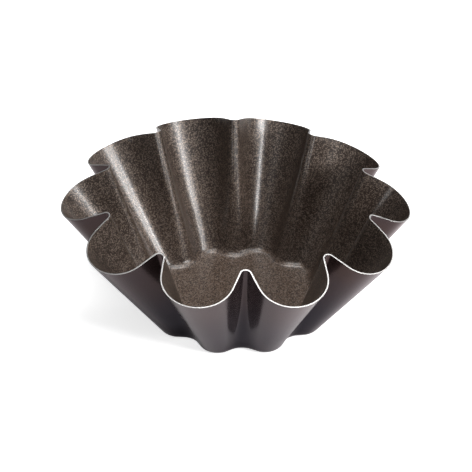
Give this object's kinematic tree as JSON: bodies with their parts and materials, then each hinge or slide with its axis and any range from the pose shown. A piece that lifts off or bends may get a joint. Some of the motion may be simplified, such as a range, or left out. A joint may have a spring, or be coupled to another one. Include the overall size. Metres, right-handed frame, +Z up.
{
  "type": "brioche mould",
  "caption": "Flared, fluted round baking tin with a flat base, a deep-drawn sheet wall, a speckled non-stick lining and a smooth outer coat.",
  "frame": {"origin": "middle of the flat base, on the surface that the tin stands on", "axes": "+Z up through the open mouth; +X through the middle of one lobe, on the side where the wall is shortest"},
  "size_m": [0.1, 0.0968, 0.0398],
  "materials": {
    "outer_coat": "smooth glossy mauve-brown heat-proof coat",
    "steel": "bare bright cut edge at the rim",
    "lining": "satin dark brown non-stick with fine pale metallic speckle"
  },
  "bodies": {
    "root": {"outer_coat": "outer_coat", "steel_pressing": "steel", "nonstick_lining": "lining"}
  },
  "joints": []
}
